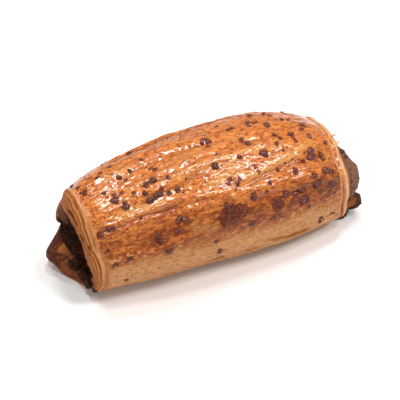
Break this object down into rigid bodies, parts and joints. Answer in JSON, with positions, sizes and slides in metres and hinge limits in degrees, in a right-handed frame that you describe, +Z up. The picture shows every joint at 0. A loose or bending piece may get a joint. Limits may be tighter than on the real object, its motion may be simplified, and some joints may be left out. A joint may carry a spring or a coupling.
{
  "type": "pain au chocolat",
  "caption": "Baked roll of laminated dough with a glazed top, chocolate crumbs on it and a chocolate filling that shows at both ends.",
  "frame": {"origin": "under the middle of the roll, on the flat base it rests on", "axes": "X along the roll with the tongue's end at -X, -Y the front, +Y the back, +Z up"},
  "size_m": [0.1288, 0.0554, 0.0501],
  "materials": {
    "crust": "egg-washed, glossy on top and matt low on the sides",
    "chocolate": "dry baked chocolate"
  },
  "bodies": {
    "root": {"dough": "crust", "filling": "chocolate"}
  },
  "joints": []
}
